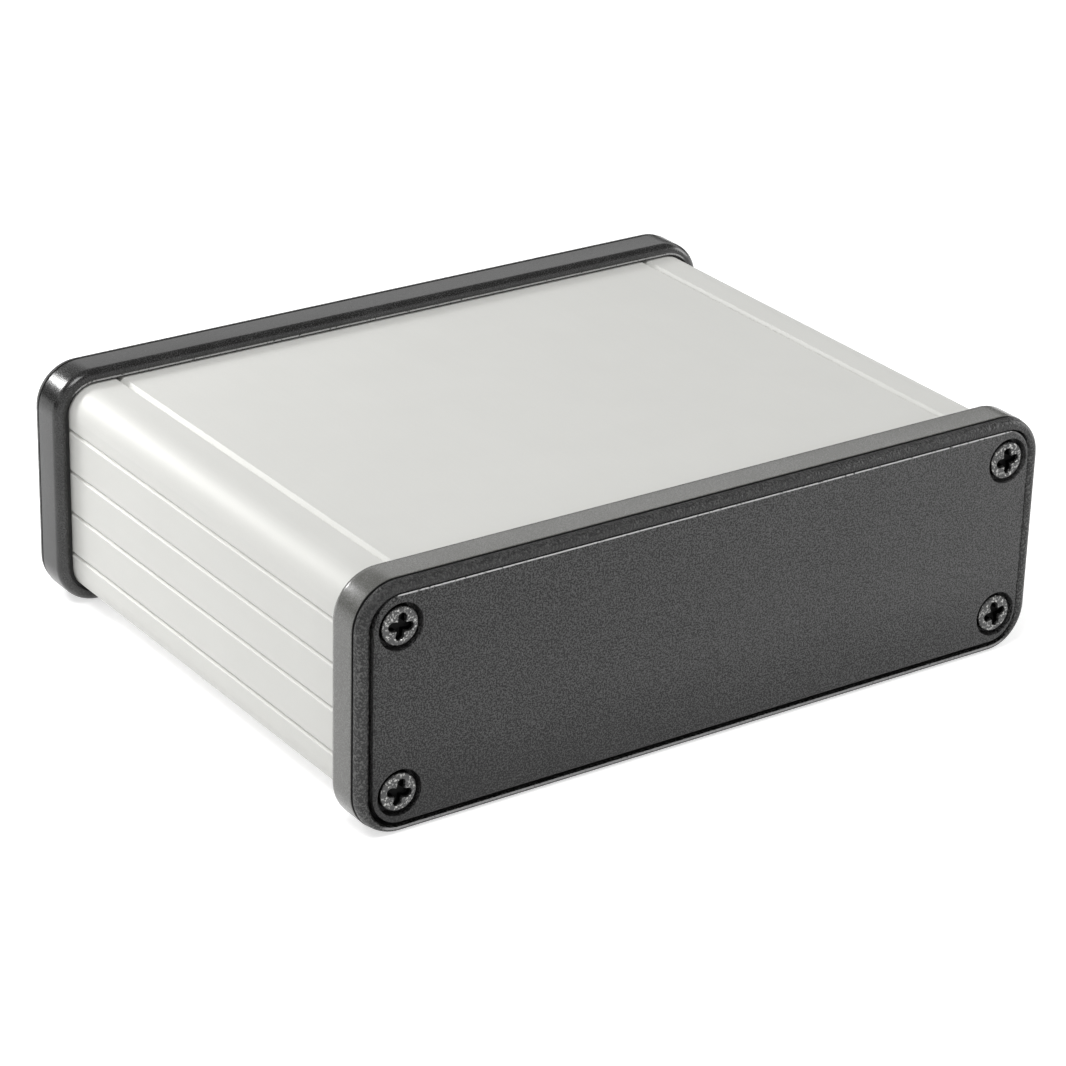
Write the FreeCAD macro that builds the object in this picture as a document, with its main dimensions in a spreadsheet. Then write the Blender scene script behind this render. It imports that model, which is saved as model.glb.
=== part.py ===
# Extruded aluminium enclosure for a 100 mm wide circuit board.
# A U-shaped extrusion is closed on top by a cover plate that slides in along two rails.
# A moulded frame and a moulded panel close each end, and four pan-head screws hold each end on.
# X runs across the width, Y runs from the front to the rear and Z is up.
# The origin is on the ground, in the middle of the base.
import FreeCAD, Part
import math
import os
import Sketcher
from FreeCAD import Placement, Rotation, Vector

# Two places closer than this are the same, and a cut or pad below this volume did nothing
SAME_PLACE = 1e-4
NO_VOLUME = 1e-6

# Driving sizes, in millimetres and degrees
SIZES = {
    # Slots in the side walls that carry the edges of a circuit board, which sets the width
    "board_width": 100.0,
    "board_play": 0.1,
    "slot_wall": 1.4,
    "slot_depth": 2.2,
    "slot_width": 1.9,
    "slot_margin": 1.55,
    "slot_count": 3,
    # Outside of the extrusion
    "body_height": 30.5,
    "body_length": 76.0,
    "body_corner": 4.0,
    "floor_wall": 1.6,
    # Decorative V grooves outside, above and below each board slot
    "side_groove_width": 0.75,
    "side_groove_depth": 0.42,
    # V seams on top, where the cover plate meets the two rails
    "rail_width": 7.7,
    "seam_width": 1.1,
    "seam_depth": 0.6,
    "seam_gap": 0.1,
    # Rails that hold the cover plate
    "lip_thickness": 0.7,
    "tongue_reach": 1.2,
    "ledge_reach": 0.8,
    "ledge_thickness": 0.8,
    "slide_play": 0.1,
    # Cover plate
    "cover_thickness": 1.8,
    "cover_edge_thickness": 2.4,
    "cover_edge_width": 2.8,
    # Open screw ports in the four corners, with their centres this far in from the outside
    "port_inset_side": 3.75,
    "port_inset_top": 3.95,
    "port_bore": 3.0,
    "port_wall": 1.2,
    "port_slit": 1.0,
    # End frame
    "frame_lip_side": 2.15,
    "frame_lip_top": 1.85,
    "band_depth": 5.15,
    "rim_bevel": 1.2,
    "edge_land": 0.08,
    "socket_depth": 3.0,
    "socket_play_side": 0.75,
    "socket_play_top": 0.35,
    "flange_thickness": 1.0,
    "flange_cover": 2.25,
    "flange_side_margin": 0.8,
    "neck_depth": 0.2,
    "neck_inset": 0.3,
    "shoulder_inset": 0.1,
    "shoulder_round": 1.15,
    # End panel, set in from the outside of the frame
    "panel_inset_side": 1.75,
    "panel_inset_top": 1.6,
    "panel_thickness": 3.0,
    "panel_proud": 0.3,
    "panel_play": 0.2,
    "panel_edge_bevel": 0.25,
    # Screw holes through the end
    "head_well_diameter": 6.4,
    "head_well_depth": 1.7,
    "screw_hole_diameter": 3.4,
    # Pan-head screws with a cross recess
    "head_diameter": 5.6,
    "head_height": 1.75,
    "thread_play": 0.05,
    "screw_length": 12.0,
    "cross_span": 3.6,
    "cross_arm": 1.1,
    "cross_depth": 1.1,
    "cross_taper": 12.0,
    # How far each screw of an end is turned, clockwise from the upper left
    "turn_upper_left": 9.0,
    "turn_upper_right": -6.0,
    "turn_lower_right": -12.0,
    "turn_lower_left": 14.0,
}

# Places worked out from the driving sizes, as sheet formulas, measured from the section's centre
PLACES = {
    "slot_base": "Sizes.board_width / 2 + Sizes.board_play",
    "half_width": "slot_base + Sizes.slot_wall",
    "half_height": "Sizes.body_height / 2",
    "ground_up": "Sizes.body_height / 2 + Sizes.frame_lip_top",
    "floor_face": "half_height - Sizes.floor_wall",
    "floor_middle": "half_height - Sizes.floor_wall / 2",
    "guide_face": "slot_base - Sizes.slot_depth",
    "bore_radius": "Sizes.port_bore / 2",
    "port_radius": "bore_radius + Sizes.port_wall",
    "port_across": "half_width - Sizes.port_inset_side",
    "port_up": "half_height - Sizes.port_inset_top",
    "port_inner": "port_across - port_radius",
    "port_outer": "port_across + port_radius",
    "port_foot": "guide_face + Sizes.port_wall / 4",
    "slit_end": "port_inner - Sizes.port_wall",
    "slit_low": "port_up - Sizes.port_slit / 2",
    "slit_high": "port_up + Sizes.port_slit / 2",
    "slot_start": "port_up - port_radius - Sizes.slot_margin - Sizes.slot_width / 2",
    "slot_start_low": "slot_start + Sizes.slot_width / 2",
    "slot_start_high": "slot_start - Sizes.slot_width / 2",
    "slot_travel": "slot_start * 2",
    "slot_pitch": "slot_travel / max(Sizes.slot_count - 1; 1)",
    "groove_count": "Sizes.slot_count + 1",
    "groove_travel": "slot_pitch * Sizes.slot_count",
    "groove_start": "groove_travel / 2",
    "groove_start_low": "groove_start + Sizes.side_groove_width / 2",
    "groove_start_high": "groove_start - Sizes.side_groove_width / 2",
    "groove_floor": "half_width - Sizes.side_groove_depth",
    "seam_middle": "half_width - Sizes.rail_width",
    "seam_inner_top": "seam_middle - Sizes.seam_width / 2",
    "seam_outer_top": "seam_middle + Sizes.seam_width / 2",
    "seam_inner_low": "seam_middle - Sizes.seam_gap / 2",
    "seam_outer_low": "seam_middle + Sizes.seam_gap / 2",
    "seam_floor": "half_height - Sizes.seam_depth",
    "lip_under": "seam_floor - Sizes.lip_thickness",
    "tongue_top": "lip_under - Sizes.slide_play",
    "tongue_end": "seam_middle + Sizes.tongue_reach",
    "rail_end": "tongue_end + Sizes.slide_play",
    "ledge_top": "half_height - Sizes.cover_edge_thickness",
    "ledge_under": "ledge_top - Sizes.ledge_thickness",
    "ledge_middle": "ledge_top - Sizes.ledge_thickness / 2",
    "ledge_edge": "seam_middle - Sizes.ledge_reach",
    "cover_under": "half_height - Sizes.cover_thickness",
    "cover_step": "seam_middle - Sizes.cover_edge_width",
    "above_top": "half_height + Sizes.body_corner",
    "outside": "half_width + Sizes.body_corner",
    "frame_half_width": "half_width + Sizes.frame_lip_side",
    "frame_half_height": "half_height + Sizes.frame_lip_top",
    "frame_corner": "Sizes.body_corner + Sizes.frame_lip_side",
    "rim_room_side": "Sizes.frame_lip_side - Sizes.socket_play_side - Sizes.edge_land",
    "rim_room_top": "Sizes.frame_lip_top - Sizes.socket_play_top - Sizes.edge_land",
    "rim_edge": "min(Sizes.rim_bevel; rim_room_side; rim_room_top)",
    "frame_front": "Sizes.flange_thickness + Sizes.panel_thickness - Sizes.panel_proud",
    "band_front": "Sizes.band_depth - Sizes.socket_depth",
    "shoulder_start": "band_front + Sizes.neck_depth",
    "shoulder_height": "frame_front - shoulder_start",
    "neck_half_width": "frame_half_width - Sizes.neck_inset",
    "neck_half_height": "frame_half_height - Sizes.neck_inset",
    "neck_corner": "frame_corner - Sizes.neck_inset",
    "shoulder_half_width": "frame_half_width - Sizes.shoulder_inset",
    "shoulder_half_height": "frame_half_height - Sizes.shoulder_inset",
    "shoulder_corner": "frame_corner - Sizes.shoulder_inset",
    "shoulder_room_side": "shoulder_half_width - window_half_width - Sizes.edge_land",
    "shoulder_room_top": "shoulder_half_height - window_half_height - Sizes.edge_land",
    "shoulder_room": "min(shoulder_room_side; shoulder_room_top; shoulder_height - Sizes.edge_land)",
    "shoulder_edge": "min(Sizes.shoulder_round; shoulder_room)",
    "socket_half_width": "half_width + Sizes.socket_play_side",
    "socket_half_height": "half_height + Sizes.socket_play_top",
    "socket_corner": "Sizes.body_corner + Sizes.socket_play_top",
    "panel_half_width": "frame_half_width - Sizes.panel_inset_side",
    "panel_half_height": "frame_half_height - Sizes.panel_inset_top",
    "panel_corner": "frame_corner - Sizes.panel_inset_side",
    "window_half_width": "panel_half_width + Sizes.panel_play",
    "window_half_height": "panel_half_height + Sizes.panel_play",
    "window_corner": "panel_corner + Sizes.panel_play",
    "window_depth": "frame_front - Sizes.flange_thickness",
    "opening_half_width": "port_inner - Sizes.flange_side_margin",
    "opening_half_height": "half_height - Sizes.flange_cover",
    "opening_corner": "Sizes.flange_side_margin",
    "panel_face": "Sizes.flange_thickness + Sizes.panel_thickness",
    "head_seat": "panel_face - Sizes.head_well_depth",
    "head_well_radius": "Sizes.head_well_diameter / 2",
    "screw_hole_radius": "Sizes.screw_hole_diameter / 2",
    "head_radius": "Sizes.head_diameter / 2",
    "shank_radius": "bore_radius - Sizes.thread_play",
    "cross_reach": "Sizes.cross_span / 2",
    "cross_half_arm": "Sizes.cross_arm / 2",
    "end_face": "Sizes.body_length / 2",
    "screw_seat": "end_face + head_seat",
}

document = FreeCAD.newDocument("enclosure")


# Spreadsheets

def make_sheet(name, entries, formula):
    """One row per entry: its name in column A and its value or formula, with an alias, in column B."""
    sheet = document.addObject("Spreadsheet::Sheet", name)
    for row, (alias, content) in enumerate(entries.items(), start=1):
        sheet.set(f"A{row}", alias)
        sheet.setAlias(f"B{row}", alias)
        sheet.set(f"B{row}", f"={content}" if formula else str(content))
    return sheet


sizes = make_sheet("Sizes", SIZES, formula=False)
places = make_sheet("Places", PLACES, formula=True)
document.recompute()


def rule(name):
    """The expression for a named size or place; a leading minus sign turns it round."""
    plain = name.lstrip("-")
    sheet = sizes if plain in SIZES else places
    return name.replace(plain, f"{sheet.Name}.{plain}")


def value(name):
    """The present value of a named size or place; a leading minus sign turns it round."""
    plain = name.lstrip("-")
    sheet = sizes if plain in SIZES else places
    size = float(sheet.get(plain))
    return -size if name.startswith("-") else size


# Sketches

def origin_feature(body, role):
    """The body's own origin plane or axis with this role."""
    for feature in body.Origin.OriginFeatures:
        if feature.Role == role:
            return feature
    raise RuntimeError(f"{body.Label} has no {role}")


def new_sketch(body, name, lift=None, plane="XZ_Plane"):
    """A sketch on an origin plane. Lift moves it along the plane's normal, which is -Y for XZ."""
    sketch = body.newObject("Sketcher::SketchObject", name)
    sketch.AttachmentSupport = [(origin_feature(body, plane), "")]
    sketch.MapMode = "FlatFace"
    if lift:
        sketch.setExpression("AttachmentOffset.Base.z", rule(lift))
    return sketch


def hold(sketch, kind, geometry, point, name):
    """Hold one point of the sketch at a named distance from the origin."""
    constraint = Sketcher.Constraint(kind, -1, 1, geometry, point, value(name))
    index = sketch.addConstraint(constraint)
    sketch.setExpression(f"Constraints[{index}]", rule(name))


def hold_radius(sketch, geometry, name):
    """Give one arc or circle a named radius."""
    index = sketch.addConstraint(Sketcher.Constraint("Radius", geometry, value(name)))
    sketch.setExpression(f"Constraints[{index}]", rule(name))


def flipped(name):
    """The same named distance on the other side of the origin."""
    return name[1:] if name.startswith("-") else f"-{name}"


def corner(across, up):
    """The point at two named distances, for a first placing of the geometry. None is no distance."""
    return Vector(value(across) if across else 0.0, value(up) if up else 0.0, 0)


def hold_corner(sketch, geometry, point, across, up):
    """Hold one point at two named distances. None leaves it on the sketch's own axis."""
    for kind, name, axis in (("DistanceX", across, -2), ("DistanceY", up, -1)):
        if name:
            hold(sketch, kind, geometry, point, name)
        else:
            sketch.addConstraint(Sketcher.Constraint("PointOnObject", geometry, point, axis))


def add_outline(sketch, corners):
    """A closed outline of straight lines through named corners."""
    count = len(corners)
    first = sketch.GeometryCount
    for step in range(count):
        start = corner(*corners[step])
        end = corner(*corners[(step + 1) % count])
        sketch.addGeometry(Part.LineSegment(start, end), False)
    for step in range(count):
        following = first + (step + 1) % count
        sketch.addConstraint(Sketcher.Constraint("Coincident", first + step, 2, following, 1))
    for step, (across, up) in enumerate(corners):
        hold_corner(sketch, first + step, 1, across, up)


def add_rounded_rectangle(sketch, half_width, half_height, radius):
    """A rectangle about the origin with four equal round corners, each tangent to its sides."""
    wide = value(half_width)
    tall = value(half_height)
    bend = value(radius)
    sides = (
        (Vector(bend - wide, tall, 0), Vector(wide - bend, tall, 0)),
        (Vector(wide, tall - bend, 0), Vector(wide, bend - tall, 0)),
        (Vector(wide - bend, -tall, 0), Vector(bend - wide, -tall, 0)),
        (Vector(-wide, bend - tall, 0), Vector(-wide, tall - bend, 0)),
    )
    for start, end in sides:
        sketch.addGeometry(Part.LineSegment(start, end), False)
    centres = (
        Vector(wide - bend, tall - bend, 0),
        Vector(wide - bend, bend - tall, 0),
        Vector(bend - wide, bend - tall, 0),
        Vector(bend - wide, tall - bend, 0),
    )
    for step, centre in enumerate(centres):
        circle = Part.Circle(centre, Vector(0, 0, 1), bend)
        start_angle = -step * math.pi / 2
        sketch.addGeometry(Part.ArcOfCircle(circle, start_angle, start_angle + math.pi / 2), False)
    for side, kind in enumerate(("Horizontal", "Vertical", "Horizontal", "Vertical")):
        sketch.addConstraint(Sketcher.Constraint(kind, side))
    for side in range(4):
        arc = 4 + side
        # The sides follow each other clockwise, and each arc is drawn the other way
        sketch.addConstraint(Sketcher.Constraint("Tangent", side, 2, arc, 2))
        sketch.addConstraint(Sketcher.Constraint("Tangent", arc, 1, (side + 1) % 4, 1))
    for arc in (5, 6, 7):
        sketch.addConstraint(Sketcher.Constraint("Equal", 4, arc))
    hold_radius(sketch, 4, radius)
    hold(sketch, "DistanceY", 0, 1, half_height)
    hold(sketch, "DistanceX", 1, 1, half_width)
    hold(sketch, "DistanceY", 2, 1, flipped(half_height))
    hold(sketch, "DistanceX", 3, 1, flipped(half_width))


def add_circles(sketch, radius):
    """One circle at each of the four screw places."""
    for across in ("-port_across", "port_across"):
        for up in ("-port_up", "port_up"):
            circle = Part.Circle(corner(across, up), Vector(0, 0, 1), value(radius))
            index = sketch.addGeometry(circle, False)
            hold_corner(sketch, index, 3, across, up)
            hold_radius(sketch, index, radius)


# Features

def present_volume(body):
    """The volume of the body as it stands, nothing before its first feature."""
    return body.Tip.Shape.Volume if body.Tip else 0.0


def finish_feature(body, feature, before, grows):
    """Recompute the feature, make it the tip and check that it added or removed material."""
    body.Tip = feature
    document.recompute()
    after = feature.Shape.Volume
    if (after > before) != grows or abs(after - before) < NO_VOLUME:
        raise RuntimeError(f"{body.Label}: {feature.Name} changed the volume from {before} to {after}")
    return feature


def add_pad(body, name, sketch, length, symmetric=False):
    """Extrude a sketch along its normal, or to both sides of it."""
    before = present_volume(body)
    pad = body.newObject("PartDesign::Pad", name)
    pad.Profile = sketch
    pad.SideType = "Symmetric" if symmetric else "One side"
    pad.setExpression("Length", rule(length))
    return finish_feature(body, pad, before, grows=True)


def add_pocket(body, name, sketch, depth=None, forwards=False, taper=None):
    """Cut a sketch against its normal, or forwards along it, or with no depth through everything."""
    before = present_volume(body)
    pocket = body.newObject("PartDesign::Pocket", name)
    pocket.Profile = sketch
    if depth:
        pocket.Type = "Length"
        pocket.setExpression("Length", rule(depth))
        pocket.Reversed = forwards
        if taper:
            pocket.setExpression("TaperAngle", rule(taper))
    else:
        pocket.Type = "ThroughAll"
        pocket.SideType = "Symmetric"
    return finish_feature(body, pocket, before, grows=False)


def repeat_upwards(body, name, feature, travel, count):
    """Repeat one cut at even steps along Z."""
    before = present_volume(body)
    pattern = body.newObject("PartDesign::LinearPattern", name)
    pattern.Originals = [feature]
    pattern.Direction = (origin_feature(body, "Z_Axis"), [""])
    pattern.setExpression("Length", rule(travel))
    pattern.setExpression("Occurrences", rule(count))
    return finish_feature(body, pattern, before, grows=False)


def break_edges(body, name, kind, size, depth):
    """Round (Fillet) or bevel (Chamfer) the edges of the tip that lie wholly at this y."""
    sharp = body.Tip
    before = present_volume(body)
    names = []
    for index, edge in enumerate(sharp.Shape.Edges, start=1):
        box = edge.BoundBox
        if abs(box.YMin - depth) < SAME_PLACE and abs(box.YMax - depth) < SAME_PLACE:
            names.append(f"Edge{index}")
    feature = body.newObject(f"PartDesign::{kind}", name)
    feature.Base = (sharp, names)
    feature.setExpression("Radius" if kind == "Fillet" else "Size", rule(size))
    return finish_feature(body, feature, before, grows=False)


def set_in_place(body, depth, rear, lift="ground_up", across=None, turn=0.0):
    """Stand the body at a named distance before or behind the middle, turned round at the rear."""
    body.Placement = Placement(
        Vector(0, 0, 0),
        Rotation(Vector(0, 0, 1), 180.0 if rear else 0.0) * Rotation(Vector(0, 1, 0), turn),
    )
    if depth:
        body.setExpression(".Placement.Base.y", rule(depth if rear else flipped(depth)))
    if across:
        body.setExpression(".Placement.Base.x", rule(flipped(across) if rear else across))
    body.setExpression(".Placement.Base.z", lift if "." in lift else rule(lift))


def new_body(name):
    """An empty body whose label is its node's name."""
    body = document.addObject("PartDesign::Body", name)
    body.Label = name
    return body


# U-shaped extrusion with board slots, rails, screw ports and V grooves

def make_body_extrusion():
    body = new_body("body_extrusion")

    section = new_sketch(body, "extrusion_section")
    add_rounded_rectangle(section, "half_width", "half_height", "body_corner")
    add_pad(body, "extrusion_bar", section, "body_length", symmetric=True)

    # The right side of the hollow from the open top down: V seam, lip, rail slot, ledge, guide wall
    right = [
        ("seam_outer_top", "above_top"),
        ("seam_outer_top", "half_height"),
        ("seam_outer_low", "seam_floor"),
        ("seam_outer_low", "lip_under"),
        ("rail_end", "lip_under"),
        ("rail_end", "ledge_top"),
        ("ledge_edge", "ledge_top"),
        ("ledge_edge", "ledge_under"),
        ("guide_face", "ledge_under"),
        ("guide_face", "-floor_face"),
    ]
    left = [(flipped(across), up) for across, up in reversed(right)]
    hollow = new_sketch(body, "hollow_section")
    add_outline(hollow, right + left)
    add_pocket(body, "hollow", hollow)

    ports = new_sketch(body, "port_section")
    for across in ("", "-"):
        for up, root in (("port_up", "ledge_middle"), ("-port_up", "-floor_middle")):
            add_port(ports, across, up, root)
    add_pad(body, "screw_ports", ports, "body_length", symmetric=True)

    bores = new_sketch(body, "bore_section")
    add_circles(bores, "bore_radius")
    add_pocket(body, "port_bores", bores)

    slits = new_sketch(body, "slit_section")
    for side in ("", "-"):
        for low, high in (("slit_low", "slit_high"), ("-slit_high", "-slit_low")):
            add_outline(slits, [
                (f"{side}slit_end", low),
                (f"{side}port_across", low),
                (f"{side}port_across", high),
                (f"{side}slit_end", high),
            ])
    add_pocket(body, "port_slits", slits)

    slot = new_sketch(body, "board_slot_section")
    for side in ("", "-"):
        add_outline(slot, [
            (f"{side}opening_half_width", "-slot_start_low"),
            (f"{side}slot_base", "-slot_start_low"),
            (f"{side}slot_base", "-slot_start_high"),
            (f"{side}opening_half_width", "-slot_start_high"),
        ])
    first_slots = add_pocket(body, "lowest_board_slots", slot)
    repeat_upwards(body, "board_slots", first_slots, "slot_travel", "slot_count")

    groove = new_sketch(body, "side_groove_section")
    for side in ("", "-"):
        add_outline(groove, [
            (f"{side}half_width", "-groove_start_low"),
            (f"{side}outside", "-groove_start_low"),
            (f"{side}outside", "-groove_start_high"),
            (f"{side}half_width", "-groove_start_high"),
            (f"{side}groove_floor", "-groove_start"),
        ])
    first_grooves = add_pocket(body, "lowest_side_grooves", groove)
    repeat_upwards(body, "side_grooves", first_grooves, "groove_travel", "groove_count")

    set_in_place(body, None, rear=False)
    return body


def add_port(sketch, side, up, root):
    """A screw port's outline: a half round about the bore, and two cheeks that end in the walls."""
    inner = f"{side}port_inner"
    outer = f"{side}port_outer"
    foot_outer = f"{side}port_foot"
    hangs = value(up) > 0
    on_right = value(outer) > value(inner)
    start_angle = math.pi if hangs else 0.0
    circle = Part.Circle(corner(f"{side}port_across", up), Vector(0, 0, 1), value("port_radius"))
    first = sketch.addGeometry(Part.ArcOfCircle(circle, start_angle, start_angle + math.pi), False)
    inner_end = 1 if hangs == on_right else 2
    outer_end = 3 - inner_end
    cheek_out = sketch.addGeometry(Part.LineSegment(corner(outer, up), corner(foot_outer, root)), False)
    foot = sketch.addGeometry(Part.LineSegment(corner(foot_outer, root), corner(inner, root)), False)
    cheek_in = sketch.addGeometry(Part.LineSegment(corner(inner, root), corner(inner, up)), False)
    sketch.addConstraint(Sketcher.Constraint("Coincident", first, outer_end, cheek_out, 1))
    sketch.addConstraint(Sketcher.Constraint("Coincident", cheek_out, 2, foot, 1))
    sketch.addConstraint(Sketcher.Constraint("Coincident", foot, 2, cheek_in, 1))
    sketch.addConstraint(Sketcher.Constraint("Coincident", cheek_in, 2, first, inner_end))
    hold_corner(sketch, cheek_out, 1, outer, up)
    hold_corner(sketch, foot, 1, foot_outer, root)
    hold_corner(sketch, cheek_in, 1, inner, root)
    hold_corner(sketch, cheek_in, 2, inner, up)
    hold(sketch, "DistanceY", first, 3, up)


# Cover plate with a tongue along each long edge

def make_cover_plate():
    body = new_body("cover_plate")
    right = [
        ("seam_inner_top", "half_height"),
        ("seam_inner_low", "seam_floor"),
        ("seam_inner_low", "tongue_top"),
        ("tongue_end", "tongue_top"),
        ("tongue_end", "ledge_top"),
        ("cover_step", "ledge_top"),
        ("cover_step", "cover_under"),
    ]
    left = [(flipped(across), up) for across, up in reversed(right)]
    section = new_sketch(body, "cover_section")
    add_outline(section, right + left)
    add_pad(body, "cover", section, "body_length", symmetric=True)
    set_in_place(body, None, rear=False)
    return body


# End frame, drawn with y = 0 at the end of the extrusion and -Y pointing outwards

def make_frame(name, rear):
    body = new_body(name)

    band = new_sketch(body, "band_outline", lift="-socket_depth")
    add_rounded_rectangle(band, "frame_half_width", "frame_half_height", "frame_corner")
    add_pad(body, "band", band, "band_depth")

    neck = new_sketch(body, "neck_outline", lift="band_front")
    add_rounded_rectangle(neck, "neck_half_width", "neck_half_height", "neck_corner")
    add_pad(body, "neck", neck, "neck_depth")

    shoulder = new_sketch(body, "shoulder_outline", lift="shoulder_start")
    add_rounded_rectangle(shoulder, "shoulder_half_width", "shoulder_half_height", "shoulder_corner")
    add_pad(body, "shoulder", shoulder, "shoulder_height")

    break_edges(body, "bevelled_rim", "Chamfer", "rim_edge", value("socket_depth"))
    break_edges(body, "rounded_shoulder", "Fillet", "shoulder_edge", -value("frame_front"))

    window = new_sketch(body, "window_outline", lift="frame_front")
    add_rounded_rectangle(window, "window_half_width", "window_half_height", "window_corner")
    add_pocket(body, "panel_window", window, "window_depth")

    socket = new_sketch(body, "socket_outline", lift="-socket_depth")
    add_rounded_rectangle(socket, "socket_half_width", "socket_half_height", "socket_corner")
    add_pocket(body, "extrusion_socket", socket, "socket_depth", forwards=True)

    opening = new_sketch(body, "opening_outline")
    add_rounded_rectangle(opening, "opening_half_width", "opening_half_height", "opening_corner")
    add_pocket(body, "flange_opening", opening)

    holes = new_sketch(body, "hole_outline")
    add_circles(holes, "screw_hole_radius")
    add_pocket(body, "flange_screw_holes", holes)

    set_in_place(body, "end_face", rear)
    return body


# End panel, drawn from the same plane as the frame

def make_panel(name, rear):
    body = new_body(name)

    plate = new_sketch(body, "panel_outline", lift="flange_thickness")
    add_rounded_rectangle(plate, "panel_half_width", "panel_half_height", "panel_corner")
    add_pad(body, "plate", plate, "panel_thickness")
    break_edges(body, "bevelled_front", "Chamfer", "panel_edge_bevel", -value("panel_face"))

    holes = new_sketch(body, "hole_outline")
    add_circles(holes, "screw_hole_radius")
    add_pocket(body, "panel_screw_holes", holes)

    wells = new_sketch(body, "well_outline", lift="panel_face")
    add_circles(wells, "head_well_radius")
    add_pocket(body, "head_wells", wells, "head_well_depth")

    set_in_place(body, "end_face", rear)
    return body


# Pan-head screw, drawn with y = 0 under its head and -Y pointing outwards

def make_screw(name, rear, across, up, turn):
    body = new_body(name)

    profile = new_sketch(body, "screw_profile", plane="XY_Plane")
    add_outline(profile, [
        (None, "-head_height"),
        ("head_radius", "-head_height"),
        ("head_radius", None),
        ("shank_radius", None),
        ("shank_radius", "screw_length"),
        (None, "screw_length"),
    ])
    before = present_volume(body)
    turned = body.newObject("PartDesign::Revolution", "turned_screw")
    turned.Profile = profile
    turned.ReferenceAxis = (profile, ["V_Axis"])
    turned.Angle = 360.0
    finish_feature(body, turned, before, grows=True)

    cross = new_sketch(body, "cross_outline", lift="head_height")
    add_outline(cross, [
        ("-cross_half_arm", "-cross_reach"),
        ("cross_half_arm", "-cross_reach"),
        ("cross_half_arm", "-cross_half_arm"),
        ("cross_reach", "-cross_half_arm"),
        ("cross_reach", "cross_half_arm"),
        ("cross_half_arm", "cross_half_arm"),
        ("cross_half_arm", "cross_reach"),
        ("-cross_half_arm", "cross_reach"),
        ("-cross_half_arm", "cross_half_arm"),
        ("-cross_reach", "cross_half_arm"),
        ("-cross_reach", "-cross_half_arm"),
        ("-cross_half_arm", "-cross_half_arm"),
    ])
    add_pocket(body, "cross_recess", cross, "cross_depth", taper="-cross_taper")

    height = f"{rule('ground_up')} {'-' if up.startswith('-') else '+'} {rule('port_up')}"
    set_in_place(body, "screw_seat", rear, lift=height, across=across, turn=value(turn))
    return body


SCREW_PLACES = (
    ("-port_across", "port_up", "turn_upper_left"),
    ("port_across", "port_up", "turn_upper_right"),
    ("port_across", "-port_up", "turn_lower_right"),
    ("-port_across", "-port_up", "turn_lower_left"),
)

nodes = [make_body_extrusion(), make_cover_plate()]
for end, is_rear in (("front", False), ("rear", True)):
    nodes.append(make_frame(f"{end}_frame", is_rear))
    nodes.append(make_panel(f"{end}_panel", is_rear))
    for number, (across, up, turn) in enumerate(SCREW_PLACES, start=1):
        nodes.append(make_screw(f"{end}_screw_{number}", is_rear, across, up, turn))
document.recompute()

# Nothing is written unless every object is sound
for item in document.Objects:
    if "Invalid" in item.State or "Error" in item.State:
        raise RuntimeError(f"{item.Label} is {item.State}")
for node in nodes:
    if node.Shape.isNull() or not node.Shape.isValid() or len(node.Shape.Solids) != 1:
        raise RuntimeError(f"{node.Label} is not one valid solid")

os.makedirs("parts", exist_ok=True)
for node in nodes:
    node.Shape.exportStep(f"parts/{node.Label}.step")
    box = node.Shape.BoundBox
    print(
        f"{node.Label}: {node.Shape.Volume:.1f} mm3,",
        f"x {box.XMin:.2f} to {box.XMax:.2f}, y {box.YMin:.2f} to {box.YMax:.2f},",
        f"z {box.ZMin:.2f} to {box.ZMax:.2f}",
    )
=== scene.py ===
# %% [markdown]
# An extruded aluminium enclosure, dressed for its portrait.
# The case itself is already exact: a U-shaped extrusion, a cover plate that slides in on top, a
# moulded frame and panel at each end, and eight screws. Its solids arrive with the frame. What is
# left to do here is what the eye judges first: how the anodised metal, the two grains of dark
# plastic and the blackened screws take the light. The extrusion and its cover keep their solids.
# The end frames, the panels and the screws are made again, with the curves that a close view shows.
# Lengths are in metres: X across the width, Y from the front end to the rear, Z up.

# %% Load the enclosure
import math

import bmesh
import bpy
import numpy as np
from mathutils import Matrix, Vector


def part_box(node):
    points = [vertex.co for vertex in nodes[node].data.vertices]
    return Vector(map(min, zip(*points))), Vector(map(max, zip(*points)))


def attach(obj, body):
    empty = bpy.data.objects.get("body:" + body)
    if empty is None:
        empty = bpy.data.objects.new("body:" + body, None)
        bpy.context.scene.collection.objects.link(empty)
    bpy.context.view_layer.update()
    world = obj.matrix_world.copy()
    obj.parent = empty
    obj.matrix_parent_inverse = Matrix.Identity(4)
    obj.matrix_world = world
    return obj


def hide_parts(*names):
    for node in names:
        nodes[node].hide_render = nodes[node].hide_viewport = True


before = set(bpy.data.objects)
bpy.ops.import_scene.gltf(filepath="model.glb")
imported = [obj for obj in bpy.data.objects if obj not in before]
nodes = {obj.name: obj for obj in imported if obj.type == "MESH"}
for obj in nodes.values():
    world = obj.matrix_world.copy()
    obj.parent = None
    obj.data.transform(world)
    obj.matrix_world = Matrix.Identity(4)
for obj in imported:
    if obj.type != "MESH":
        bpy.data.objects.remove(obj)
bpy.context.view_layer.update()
MM = 0.001
ENDS = ("front", "rear")
print("pieces:", ", ".join(sorted(nodes)))

# %% [markdown]
# A finish changes from place to place: metal is a touch rougher along one drawing line than along
# the next, and a moulding's grain is a field of small pits. Such fields are sums and products of
# patterns, so they read best as plain arithmetic. The class below wraps one output of a shader
# node, and every sign used on it adds the Math node that does the same sum in the material.
# Dragging the same nodes about by hand would work as well, but nobody can read the result.

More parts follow.
